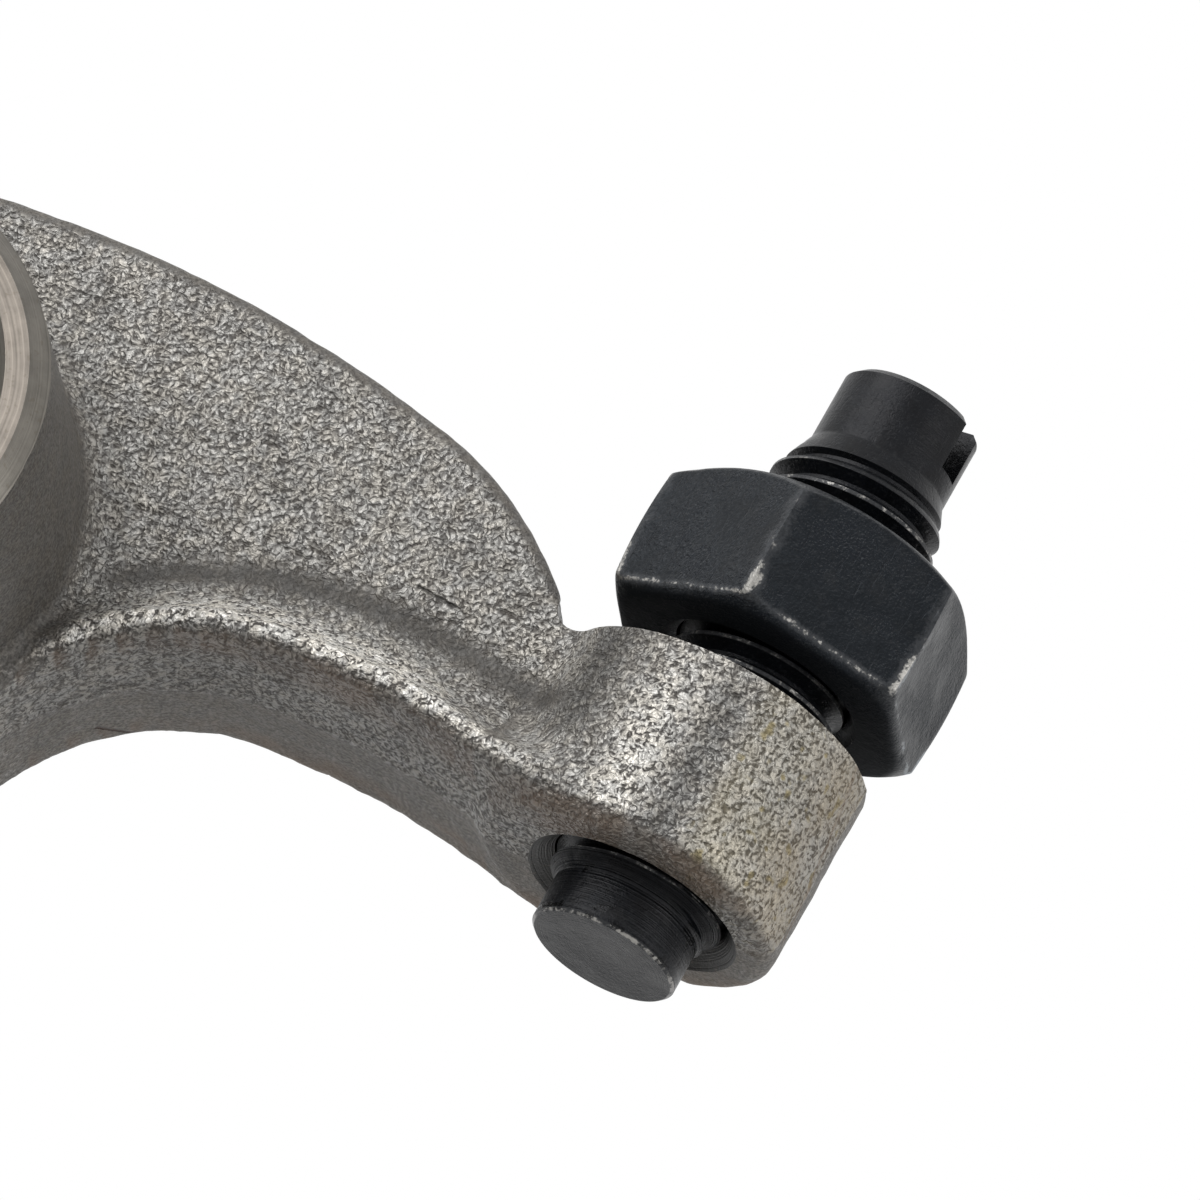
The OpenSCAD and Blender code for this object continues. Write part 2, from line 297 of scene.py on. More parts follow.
class Tree:
    """Adds nodes to a tree, fed with plain values or with other nodes' outputs."""

    def __init__(self, tree):
        self.tree = tree

    def feed(self, socket, value):
        if isinstance(value, bpy.types.Node):
            value = value.outputs[0]
        if isinstance(value, bpy.types.NodeSocket):
            self.tree.links.new(value, socket)
        else:
            socket.default_value = value

    def add(self, kind, feeds=None, **settings):
        node = self.tree.nodes.new(kind)
        for key, value in settings.items():
            setattr(node, key, value)
        for key, value in (feeds or {}).items():
            self.feed(node.inputs[key], value)
        return node

    def math(self, operation, a, b=0.0, clamp=False):
        node = self.add("ShaderNodeMath", {0: a, 1: b}, operation=operation, use_clamp=clamp)
        return node.outputs[0]

    def ease(self, value, low, high, out_low=0.0, out_high=1.0):
        """Brings low to high of a value to out_low to out_high, held at both ends."""
        node = self.add(
            "ShaderNodeMapRange",
            {"Value": value, "From Min": low, "From Max": high, "To Min": out_low, "To Max": out_high},
            interpolation_type="SMOOTHSTEP",
        )
        return node.outputs[0]

    def blend(self, amount, a, b, kind="MIX"):
        node = self.add("ShaderNodeMix", {0: amount, 6: a, 7: b}, data_type="RGBA", blend_type=kind)
        return node.outputs[2]

    def times(self, a, b):
        return self.math("MULTIPLY", a, b)

    def plus(self, a, b):
        return self.math("ADD", a, b)

    def minus(self, a, b):
        return self.math("SUBTRACT", a, b)

    def noise(self, place, size, detail=2.0, roughness=0.5, distortion=0.0, colour=False):
        """Noise whose lumps are about size millimetres wide, at a place in millimetres."""
        scale = self.math("DIVIDE", 1.0, size) if isinstance(size, bpy.types.NodeSocket) else 1 / size
        node = self.add(
            "ShaderNodeTexNoise",
            {"Vector": place, "Scale": scale, "Detail": detail, "Roughness": roughness, "Distortion": distortion},
        )
        return node.outputs["Color" if colour else "Fac"]

    def scaled(self, vector, factor):
        return self.add("ShaderNodeVectorMath", {0: vector, "Scale": factor}, operation="SCALE").outputs[0]

    def moved(self, vector, offset):
        return self.add("ShaderNodeVectorMath", {0: vector, 1: offset}, operation="ADD").outputs[0]

    def stretched(self, vector, by):
        return self.add("ShaderNodeVectorMath", {0: vector, 1: by}, operation="MULTIPLY").outputs[0]

    def round_axis(self, place):
        """How far a place is from the Z axis, and how high it is."""
        x, y, z = self.add("ShaderNodeSeparateXYZ", {0: place}).outputs
        return self.math("SQRT", self.plus(self.times(x, x), self.times(y, y))), z

    def bump(self, shader, height, distance):
        node = self.add("ShaderNodeBump", {"Strength": 1.0, "Distance": distance, "Height": height})
        self.feed(shader.inputs["Normal"], node)

    def place(self, centre=(0, 0, 0)):
        """The point on the piece, in millimetres from a centre."""
        point = self.add("ShaderNodeTexCoord").outputs["Object"]
        return self.moved(self.scaled(point, 1 / MM), tuple(-c for c in centre))

    def value(self, name):
        return self.add("ShaderNodeAttribute", attribute_name=name).outputs["Fac"]


def group(name, inputs, outputs):
    """A shader node group with its named inputs and outputs, and a Tree to fill it."""
    tree = bpy.data.node_groups.new(name, "ShaderNodeTree")
    for label, kind, default in inputs:
        socket = tree.interface.new_socket(name=label, in_out="INPUT", socket_type="NodeSocket" + kind)
        if default is not None:
            socket.default_value = default
    for label, kind in outputs:
        tree.interface.new_socket(name=label, in_out="OUTPUT", socket_type="NodeSocket" + kind)
    nodes = Tree(tree)
    return tree, nodes, nodes.add("NodeGroupInput").outputs, nodes.add("NodeGroupOutput").inputs


def turning_marks():
    """Fine rings that a lathe or a drill leaves round an axis that runs along the place's Z."""
    tree, nodes, given, made = group(
        "turning_marks",
        [("Place", "Vector", None), ("Spacing", "Float", 0.12), ("Wander", "Float", 0.3)],
        [("Height", "Float"), ("Tone", "Float")],
    )
    place, spacing = given["Place"], given["Spacing"]
    across, height = nodes.round_axis(place)
    run = nodes.plus(across, nodes.times(height, 0.7))
    run = nodes.plus(run, nodes.times(nodes.noise(place, 3.0), nodes.times(given["Wander"], spacing)))
    line = nodes.add(
        "ShaderNodeTexNoise",
        {"W": nodes.math("DIVIDE", run, spacing), "Scale": 1.0, "Detail": 2.0, "Roughness": 0.7},
        noise_dimensions="1D",
    ).outputs["Fac"]
    patch = nodes.noise(place, 1.1, 3.0, 0.6)
    nodes.feed(made["Height"], nodes.times(line, nodes.ease(patch, 0.2, 0.6, 0.5, 1.0)))
    nodes.feed(made["Tone"], nodes.plus(nodes.times(line, 0.6), nodes.times(patch, 0.4)))
    return tree


def bare_edges():
    """Where an edge has worn to bare steel: an edge value broken up by scuffs and nicks."""
    tree, nodes, given, made = group(
        "bare_edges",
        [("Place", "Vector", None), ("Edge", "Float", 0.0), ("Amount", "Float", 0.5)],
        [("Bare", "Float"), ("Scuffed", "Float")],
    )
    coarse = nodes.noise(given["Place"], 0.9, 4.0, 0.65)
    fine = nodes.noise(given["Place"], 0.16, 2.0, 0.6)
    breaks = nodes.plus(nodes.times(coarse, 0.65), nodes.times(fine, 0.35))
    reach = nodes.plus(nodes.times(given["Edge"], given["Amount"]), breaks)
    nodes.feed(made["Bare"], nodes.ease(reach, 0.92, 1.04))
    nodes.feed(made["Scuffed"], nodes.ease(reach, 0.62, 0.95))
    return tree


def handling():
    """Slow blotches and small specks, as oil and handling leave on any steel."""
    tree, nodes, given, made = group(
        "handling",
        [("Place", "Vector", None), ("Blotch", "Float", 4.0), ("Speck", "Float", 0.25)],
        [("Blotches", "Float"), ("Specks", "Float"), ("Streaks", "Float")],
    )
    place = given["Place"]
    nodes.feed(made["Blotches"], nodes.noise(place, given["Blotch"], 3.0, 0.55))
    nodes.feed(made["Specks"], nodes.ease(nodes.noise(place, given["Speck"], 1.0), 0.62, 0.74))
    nodes.feed(made["Streaks"], nodes.noise(nodes.stretched(place, (1.0, 1.0, 0.12)), 0.22, 3.0, 0.6))
    return tree


def used(nodes, maker, feeds):
    """Places a node group among other nodes; its maker builds it once for all materials."""
    tree = bpy.data.node_groups.get(maker.__name__) or maker()
    return nodes.add("ShaderNodeGroup", feeds, node_tree=tree).outputs


def new_material(name):
    material = bpy.data.materials.new(name)
    material.use_nodes = True
    shader = material.node_tree.nodes["Principled BSDF"]
    return material, Tree(material.node_tree), shader


def cast_grain(nodes, place, grain, painted_highlight, fine, stain):
    """The cast skin's grain: its height; its tone, which adds painted light from the upper left on the grains' sides
    to the height; and the sand between.
    """
    bend = nodes.moved(nodes.noise(place, grain * 1.5, 1.0, colour=True), (-0.5, -0.5, -0.5))
    bent = nodes.moved(place, nodes.scaled(bend, grain * 0.7))
    top = nodes.noise(bent, grain * 0.8, 1.5, 0.6)
    beside = nodes.noise(nodes.moved(bent, (-0.085, -0.035, 0.05)), grain * 0.8, 1.5, 0.6)
    # Painted light: the grain minus a copy shifted toward the upper left, lighter on the sides that face that way and
    # darker on the others.
    slope = nodes.minus(top, beside)
    worms = nodes.noise(nodes.moved(bent, (3.0, 7.0, 5.0)), grain * 0.9, 1.5, 0.5)
    crack = nodes.ease(nodes.math("ABSOLUTE", nodes.minus(worms, 0.5)), 0.0, 0.085)
    crack = nodes.math("MAXIMUM", crack, nodes.times(stain, 0.25))
    cells = nodes.add(
        "ShaderNodeTexVoronoi", {"Vector": bent, "Scale": 1 / (grain * 1.7), "Smoothness": 0.25}, feature="SMOOTH_F1"
    )
    lumps = nodes.ease(cells.outputs["Distance"], 0.62, 0.1)
    streaks = nodes.ease(nodes.noise(nodes.stretched(place, (0.22, 1.0, 1.0)), 0.3, 2.0, 0.6), 0.54, 0.66)
    streaks = nodes.times(streaks, nodes.ease(nodes.noise(place, 3.0, 1.0), 0.45, 0.6))
    coarse = nodes.plus(nodes.times(nodes.ease(top, 0.3, 0.7), 0.55), nodes.times(crack, 0.45))
    coarse = nodes.plus(coarse, nodes.times(nodes.times(lumps, painted_highlight), 0.8))
    coarse = nodes.minus(coarse, nodes.times(streaks, 0.45))
    sand = nodes.noise(place, 0.15, 2.0, 0.6)
    height = nodes.plus(nodes.times(coarse, nodes.ease(fine, 1.0, 0.0, 0.12, 1.0)), nodes.times(sand, 0.25))
    # Painted light: the slope joins the tone, more strongly where the painted highlight goes, less where the skin is
    # finer.
    painted_emboss_light = nodes.times(slope, nodes.ease(nodes.minus(painted_highlight, fine), -0.8, 0.8, 1.0, 2.9))
    return height, nodes.ease(nodes.plus(height, painted_emboss_light), -0.05, 1.05), sand


def line_mark(nodes, place, ends, width, press):
    """1 along a short line on the piece, easing to 0 beside it; press flattens the depth across the skin."""
    start, end = Vector(ends[0]), Vector(ends[1])
    way = (end - start) * Vector(press)
    offset = nodes.stretched(nodes.moved(place, tuple(-start)), press)
    step = tuple(way / way.length_squared)
    along = nodes.add("ShaderNodeVectorMath", {0: offset, 1: step}, operation="DOT_PRODUCT").outputs["Value"]
    nearest = nodes.scaled(tuple(way), nodes.math("MULTIPLY", along, 1.0, clamp=True))
    gap = nodes.add("ShaderNodeVectorMath", {0: offset, 1: nearest}, operation="DISTANCE").outputs["Value"]
    gap = nodes.plus(gap, nodes.times(nodes.noise(place, 0.3, 2.0), width))
    return nodes.ease(gap, width * 1.4, width * 0.6)


def cast_skin(s):
    """Grey cast steel: wormy grains with pale tops and blackish cracks, partly painted light and shade on their
    sides; finer in places, with painted shade on the undersides and in the hollows, and painted highlight on the lit
    rim and boss flank.
    """
    material, nodes, shader = new_material("cast_skin")
    place = nodes.place()
    fine, painted_shade, painted_highlight, stain, rusty, ground = (nodes.value(name) for name in SKIN_VALUES)
    height, tone, sand = cast_grain(nodes, place, s.grain / MM, painted_highlight, fine, stain)
    dirt = used(nodes, handling, {"Place": place, "Blotch": 3.5, "Speck": 0.7})

    # The tone runs from pits to skin to ridges: partly the grain's own colour, partly the painted light and shade
    # from its slope.
    base = nodes.blend(nodes.ease(tone, -0.1, 0.55), tuple(s.pit), tuple(s.skin))
    base = nodes.blend(nodes.ease(tone, 0.5, 1.0), base, tuple(s.ridge))
    plain = nodes.blend(nodes.ease(sand, 0.32, 0.68), srgb(86, 82, 77), srgb(146, 141, 134))
    base = nodes.blend(nodes.times(fine, 0.85), base, plain)
    slow = nodes.ease(nodes.noise(place, 0.7, 2.0), 0.35, 0.65)
    base = nodes.blend(0.6, base, nodes.blend(slow, srgb(255, 252, 247), srgb(247, 250, 255)), "MULTIPLY")
    base = nodes.blend(nodes.times(dirt["Specks"], stain), base, tuple(s.olive))
    warm = nodes.times(nodes.ease(dirt["Blotches"], 0.42, 0.62), stain)
    base = nodes.blend(nodes.times(nodes.plus(warm, stain), 0.2), base, tuple(s.olive))
    brown = nodes.times(nodes.ease(dirt["Blotches"], 0.35, 0.6, 0.25, 0.8), rusty)
    base = nodes.blend(brown, base, tuple(s.rust))

    # Painted shade: the skin is multiplied down to 0.28 where the painted-shade point values are high, on the barrel,
    # the crown, the hollow, the root, the seam under the rim, the underside, the neck and the groove; the blotches
    # only vary the tone at random.
    shade = nodes.ease(painted_shade, 0.0, 1.0, 1.0, 0.28)
    shade = nodes.times(shade, nodes.ease(dirt["Blotches"], 0.25, 0.75, 0.88, 1.08))
    # Painted highlight: the grain tops are lifted on the lit fillet rim, the boss cheek and foot, and the boss end.
    shade = nodes.plus(shade, nodes.times(painted_highlight, nodes.ease(tone, 0.2, 0.8, 0.0, 0.8)))
    grey = nodes.add("ShaderNodeCombineColor", {0: shade, 1: shade, 2: shade})
    base = nodes.blend(1.0, base, grey, "MULTIPLY")

    nick = line_mark(nodes, place, NICK, 0.12, (1.0, 0.15, 1.0))
    scratch = line_mark(nodes, place, SCRATCH, 0.14, (1.0, 1.0, 0.2))
    flash = line_mark(nodes, place, FLASH, 0.3, (0.3, 1.0, 1.0))
    base = nodes.blend(nodes.times(nick, 0.8), base, srgb(46, 42, 38))
    base = nodes.blend(nodes.times(scratch, 0.85), base, srgb(58, 36, 28))
    base = nodes.blend(nodes.times(flash, 0.5), base, srgb(112, 88, 62))
    height = nodes.minus(height, nodes.times(nodes.plus(nick, scratch), 1.2))
    height = nodes.plus(height, nodes.times(flash, 0.6))

    lines = nodes.noise(nodes.stretched(place, (1.0, 0.05, 1.0)), 0.13, 2.0, 0.6)
    steel = nodes.blend(nodes.ease(lines, 0.3, 0.7), srgb(96, 94, 90), srgb(146, 143, 138))
    rough = nodes.ease(tone, 0.0, 1.0, 0.6, 0.4)
    metal = nodes.ease(tone, 0.1, 0.9, 0.1, 0.35)
    nodes.feed(shader.inputs["Base Color"], nodes.blend(ground, base, steel))
    nodes.feed(shader.inputs["Roughness"], nodes.ease(ground, 0.0, 1.0, rough, 0.3))
    nodes.feed(shader.inputs["Metallic"], nodes.ease(ground, 0.0, 1.0, metal, 0.7))
    nodes.bump(shader, nodes.ease(ground, 0.0, 1.0, height, nodes.times(lines, 0.06)), s.relief)
    return material


def machined(name, colour, centre, turn, spacing, relief, roughness, dull=0.0):
    """Bare machined steel with the tool's rings round an axis."""
    material, nodes, shader = new_material(name)
    point = nodes.place(centre)
    turned = nodes.add("ShaderNodeMapping", {"Vector": point, "Rotation": turn}).outputs[0]
    marks = used(nodes, turning_marks, {"Place": turned, "Spacing": spacing, "Wander": 1.5})
    dirt = used(nodes, handling, {"Place": point, "Blotch": 2.0, "Speck": 0.22})
    darker = tuple(c * 0.62 for c in colour[:3]) + (1.0,)
    lighter = tuple(min(1.0, c * 1.22) for c in colour[:3]) + (1.0,)
    base = nodes.blend(nodes.ease(marks["Tone"], 0.3, 0.7), darker, lighter)
    base = nodes.blend(nodes.ease(dirt["Blotches"], 0.35, 0.7, 0.0, 0.35), base, tuple(colour))
    base = nodes.blend(nodes.times(dirt["Specks"], 0.35), base, srgb(92, 84, 72))
    nodes.feed(shader.inputs["Base Color"], base)
    nodes.feed(shader.inputs["Roughness"], nodes.ease(marks["Tone"], 0.2, 0.8, roughness + 0.1, roughness - 0.06))
    nodes.feed(shader.inputs["Metallic"], nodes.ease(dirt["Blotches"], 0.3, 0.7, 0.75 - dull, 0.6 - dull))
    height = nodes.plus(marks["Height"], nodes.times(nodes.noise(point, 0.09, 2.0), 0.5))
    nodes.bump(shader, height, relief * MM)
    return material


def black_oxide(name, colour, sheen, worn, edge, deep, oil_and_shade, film, spacing, relief, roughness, wrinkled):
    """Black oxide over turned steel, round the screw's axis.

    edge and deep make masks from the nodes: where its edges and its deep rings are.
    The third mask maker darkens the coat: oil patches on the screw, and painted shade on the nut's lower face.
    film is what that mask adds to the roughness, and wrinkled is how much the coat has crept and how much painted
    light lies on its wrinkles' sides.
    """
    material, nodes, shader = new_material(name)
    place = nodes.place((SCREW_X, 0, 0))
    marks = used(nodes, turning_marks, {"Place": place, "Spacing": spacing, "Wander": 1.0})
    dirt = used(nodes, handling, {"Place": place, "Blotch": 2.5, "Speck": 0.3})
    bare = used(nodes, bare_edges, {"Place": place, "Edge": edge(nodes, place), "Amount": worn})
    oil = oil_and_shade(nodes, place)

    base = nodes.blend(nodes.ease(dirt["Blotches"], 0.3, 0.7), tuple(colour), srgb(12, 15, 20))
    base = nodes.blend(nodes.times(nodes.ease(marks["Tone"], 0.35, 0.7), 0.4), base, srgb(17, 19, 22))
    # Painted light on the coat's wrinkles: the fine noise minus a copy shifted toward the upper left turns pale grey
    # on the sides that face that way, more where the coat is more wrinkled and in the blotches.
    fine = nodes.noise(place, 0.12, 3.0, 0.7)
    beside = nodes.noise(nodes.moved(place, (-0.03, -0.012, 0.035)), 0.12, 3.0, 0.7)
    painted_wrinkle_light = nodes.ease(nodes.minus(fine, beside), 0.02, 0.2, 0.0, 0.28 * (wrinkled - 1))
    patchy = nodes.ease(dirt["Blotches"], 0.4, 0.6, 0.35, 1.0)
    base = nodes.blend(nodes.times(painted_wrinkle_light, patchy), base, srgb(88, 90, 92))
    base = nodes.blend(nodes.times(dirt["Specks"], 0.25), base, srgb(54, 55, 56))
    base = nodes.blend(nodes.times(bare["Scuffed"], 0.6), base, srgb(80, 81, 83))
    smudge = nodes.ease(nodes.noise(place, 1.5, 4.0, 0.65), 0.54, 0.7, 0.0, 0.25)
    base = nodes.blend(smudge, base, srgb(42, 41, 40))
    # Darker coat: oil patches on the screw, and painted shade on the nut's lower face.
    base = nodes.blend(nodes.times(oil, 0.85), base, srgb(3, 4, 5))
    nodes.feed(shader.inputs["Base Color"], nodes.blend(bare["Bare"], base, srgb(146, 144, 140)))

    dull = nodes.ease(dirt["Blotches"], 0.3, 0.7, roughness - 0.07, roughness + 0.07)
    dull = nodes.plus(dull, nodes.times(oil, film))
    nodes.feed(shader.inputs["Roughness"], nodes.plus(dull, nodes.times(marks["Tone"], 0.08)))
    nodes.feed(shader.inputs["Metallic"], nodes.times(bare["Bare"], 0.9))
    shader.inputs["Specular IOR Level"].default_value = 0.21
    shader.inputs["Specular Tint"].default_value = sheen

    wrinkle = nodes.times(
        nodes.noise(place, 0.2, 2.0, 0.6, 0.8),
        nodes.ease(dirt["Blotches"], 0.35, 0.6, 0.6 * wrinkled, 2.2 * wrinkled),
    )
    rings = nodes.times(marks["Height"], nodes.plus(1.0, deep(nodes, place)))
    scratch = nodes.times(nodes.ease(dirt["Streaks"], 0.6, 0.7), 0.6 * wrinkled)
    grain = nodes.times(nodes.noise(place, 0.07, 2.0), 0.35)
    nodes.bump(shader, nodes.plus(nodes.minus(rings, scratch), nodes.plus(wrinkle, grain)), relief * MM)
    return material


# ---------------- cast arm

SKIN, FACE, BEVEL, BORE, MOUTH, SEAT = range(6)


def arm_stock():
    """The arm before machining: the solid with its bore, ends, seat and screw hole filled."""
    bm = solid_of("arm_casting")
    for vert in bm.verts:
        if vert.co.z > BOSS_TOP - 0.01 and math.hypot(vert.co.x - SCREW_X, vert.co.y) < SEAT_R + 0.02:
            vert.co.z = max(vert.co.z, BOSS_TOP + 0.95)
    along_y = Matrix.Rotation(-math.pi / 2, 4, "X")
    front = (HUB_ROOT_R - HUB_END_R) / (-HUB_FRONT - HUB_BEVEL - HALF_WEB)
    back = (HUB_ROOT_R - HUB_END_R) / (HUB_BACK - HUB_BEVEL - HALF_WEB)
    spare = 1.5
    add_to(bm, lathe([
        (0, HUB_FRONT - spare),
        (HUB_END_R - front * (spare + HUB_BEVEL), HUB_FRONT - spare),
        (HUB_ROOT_R, -HALF_WEB),
        (HUB_ROOT_R, HALF_WEB),
        (HUB_END_R - back * (spare + HUB_BEVEL), HUB_BACK + spare),
        (0, HUB_BACK + spare),
    ], 180, along_y))
    plug_r = COUNTERSINK_R + 0.3
    add_to(bm, lathe([
        (0, BOSS_FLOOR), (plug_r, BOSS_FLOOR), (plug_r, BOSS_TOP + 0.9), (0, BOSS_TOP + 0.9)
    ], 96, Matrix.Translation((SCREW_X, 0, 0))))
    return bm


def bore_tool():
    """What boring and facing the hub takes away, about the bore's axis."""
    rim, clear, short, past = HUB_END_R - HUB_BEVEL, 3.2, 1.4, 2.5
    profile = [
        (0, HUB_FRONT - past),
        (rim + clear, HUB_FRONT - past),
        (rim + clear, HUB_FRONT + clear),
        (rim, HUB_FRONT),
        (BORE_R + BORE_BEVEL, HUB_FRONT),
        (BORE_R, HUB_FRONT + BORE_BEVEL),
        (BORE_R, HUB_BACK - BORE_BEVEL),
        (BORE_R + BORE_BEVEL, HUB_BACK),
        (rim, HUB_BACK),
        (rim + short, HUB_BACK - short),
        (rim + short, HUB_BACK + past),
        (0, HUB_BACK + past),
    ]
    finishes = [SKIN, SKIN, BEVEL, FACE, BEVEL, BORE, BEVEL, FACE, BEVEL, SKIN, SKIN]
    return lathe(profile, 192, Matrix.Rotation(-math.pi / 2, 4, "X"), finishes)


def seat_tool():
    """What drilling the boss and facing its top takes away, about the screw's axis."""
    wide = 2.0
    wall = SEAT_R + 0.04
    foot = [
        (wall - SEAT_FOOT * (1 - math.sin(a)), BOSS_TOP + SEAT_FOOT * (1 - math.cos(a)))
        for a in (math.radians(15 * i) for i in range(7))
    ]
    profile = [
        (0, BOSS_FLOOR - wide),
        (COUNTERSINK_R + wide, BOSS_FLOOR - wide),
        (HOLE_R, BOSS_FLOOR + COUNTERSINK_R - HOLE_R),
        (HOLE_R, BOSS_TOP - 0.35),
        (HOLE_R + 0.35, BOSS_TOP),
        *foot,
        (wall, BOSS_TOP + 9),
        (0, BOSS_TOP + 9),
    ]
    finishes = [MOUTH, MOUTH, BORE, MOUTH] + [SEAT] * (len(profile) - 5)
    return lathe(profile, 144, Matrix.Translation((SCREW_X, 0, 0)), finishes)


def off_pad(point):
    """Distance of a point from the rubbing pad's round face; large beside the face."""
    if not -PAD_X - PAD_L / 2 < point.x < -PAD_X + PAD_L / 2 or point.z > 0:
        return 9.0
    return abs(math.hypot(point.x + PAD_X, point.z - PAD_R + PAD_DROP) - PAD_R)


def ground_pad(mesh):
    """Brings the pad's face to its exact radius, as grinding does."""
    for vert in mesh.vertices:
        p = vert.co
        if off_pad(p) < 0.3 and vert.normal.z < -0.85:
            across = Vector((p.x + PAD_X, p.z - PAD_R + PAD_DROP))
            across *= PAD_R / across.length
            vert.co = (across.x - PAD_X, p.y, across.y + PAD_R - PAD_DROP)
    mesh.update()


def uneven(mesh, amount):
    """Moves the skin's points in and out as a sand mould leaves it."""
    normals = [v.normal.copy() for v in mesh.vertices]
    for vert, normal in zip(mesh.vertices, normals):
        p = vert.co
        x, y, z = p
        wave = 0.9 * noise.noise(p / 3.1) + 0.6 * noise.noise(p / 1.3 + Vector((7, 3, 1)))
        wave += 0.55 * noise.noise(p / 0.72 + Vector((2, 9, 4)))
        joint = bell(y, 0, 0.16) * max(smooth(-0.3, -0.7, normal.z), smooth(0.3, 0.8, normal.x) * smooth(40, 42, x))
        gaps = 1 + 0.6 * noise.noise(p / 1.7)
        flank = smooth(*FLANK, abs(y)) * smooth(8.6, 6.5, z)
        swell = 0.12 * bell(x, SWELL_X, 1.0) - 0.2 * bell(x, GROOVE_X, 0.8)
        rim = smooth(4.4, 5.1, abs(y)) * smooth(34, 31, x) * smooth(12, 15, x) * smooth(0.9, 0.3, abs(normal.z + 0.4))
        broken = 0.1 * noise.noise(p / 0.6 + Vector((5, 1, 8)))
        vert.co = p + normal * (amount * wave + 0.07 * joint * gaps + swell * flank + broken * rim)
    mesh.update()


def skin_values(mesh):
    """Point by point, where the skin is finer, stained, brown or ground, and where painted shade and painted
    highlight go.
    """
    under, over = {}, {}
    for vert in mesh.vertices:
        x, y, z = vert.co
        if abs(y) < 2:
            slot = round(x)
            under[slot] = min(under.get(slot, z), z)
            over[slot] = max(over.get(slot, z), z)
    series = {name: [] for name in SKIN_VALUES}
    for vert in mesh.vertices:
        x, y, z = vert.co
        n = vert.normal
        slot = round(x)
        rise, fall = z - under.get(slot, 0), over.get(slot, 10) - z
        side = abs(y)
        out = math.hypot(x, z)
        near = smooth(0.5, -0.4, y) * smooth(9, 12, x)
        shown = smooth(0, -2, y) * smooth(4, 8, x)
        # the hub and the web
        barrel = smooth(13.2, 11.5, out) * smooth(3.0, 4.6, side)
        root = bell(out, 12.5, 0.8) * smooth(4.0, 3.3, side)
        crown = smooth(0.2, 0.55, n.z) * smooth(2.2, 1.0, fall) * smooth(32, 30, x)
        valley = 6.0 - (0.032 if x < VALLEY_X else 0.0139) * (x - VALLEY_X) ** 2
        reach = 2.6 * smooth(29, 33, x)
        along = smooth(11, 13.5, x) * smooth(35, 31, x)
        hollow = bell(z, valley, 0.8) * along * smooth(4.4 + reach, 3.4 + reach, side)
        # the flange, its rim and what is under it
        below = smooth(-0.25, -0.6, n.z) * smooth(3.2, 2.0, rise)
        boss = smooth(31.5, 34, x)
        top = 4.1 - 1.7 * smooth(25, 30, x) - 0.8 * smooth(18, 14, x)
        rim = smooth(top, top - 1.9, rise) * smooth(3.1, 4.0, side) * (1 - boss)
        edge = smooth(-0.2, -0.5, n.z) * smooth(0.9, 0.2, rise) * smooth(2.5, 4.0, side)
        seam = smooth(-0.05, -0.3, n.z) * smooth(-0.9, -0.6, n.z) * smooth(3.0, 5.0, side)
        seam *= smooth(11, 13, x) * smooth(1.6, 0.8, rise)
        # the boss
        flank = smooth(*FLANK, side)
        cheek = bell(x, CHEEK_X, 1.1) * flank * smooth(11.0, 4.0, z)
        groove = bell(x, GROOVE_X, 0.75) * flank * smooth(8.8, 6.5, z)
        neck = bell(x, NECK_X, 1.5) * smooth(2.0, 4.0, z) * (1 - crown)
        far = smooth(-0.15, 0.15, y) * smooth(41, 42.5, x)
        foot = smooth(3.0, 1.2, z) * smooth(40.2, 41.2, x) * (1 - far)
        shining = max(1.15 * rim, cheek, 0.6 * foot, 0.38 * smooth(40, 41.5, x) * (1 - far))
        found = {
            "fine": max(barrel, 0.85 * crown, 0.75 * hollow, (0.85 - 0.6 * near) * below, 0.8 * far, 0.3 * neck),
            # Painted shade: barrel, crown, hollow, root, the seam under the rim, the underside, neck and groove, and
            # a little on the boss and its far end.
            "painted_shade": max(
                0.48 * barrel, 0.4 * crown, 0.76 * hollow, (0.12 + 0.26 * near) * below, 0.74 * neck,
                0.55 * groove, 0.3 * root, 0.6 * seam, 0.06 * boss * (1 - cheek), 0.1 * far,
            ),
            # Painted highlight: fillet rim, boss cheek and foot, and boss end, more on the near side; none on the
            # underside, in the groove or on the seam.
            "painted_highlight": (0.35 + 0.65 * shown) * shining * (1 - below) * (1 - groove) * (1 - seam),
            "stain": max(0.03, 0.9 * smooth(39.8, 41.0, x) * (1 - far) * (1 - 0.6 * below)),
            "rusty": 0.3 * smooth(42.2, 43.8, x) * smooth(9.5, 7.5, z) * (1 - far) + 0.75 * edge,
            "ground": smooth(0.12, 0.05, off_pad(vert.co)) * smooth(0.85, 0.92, -n.z),
        }
        for name, value in found.items():
            series[name].append(value)
    for name, values in series.items():
        mesh.attributes.new(name, "FLOAT", "POINT").data.foreach_set("value", values)


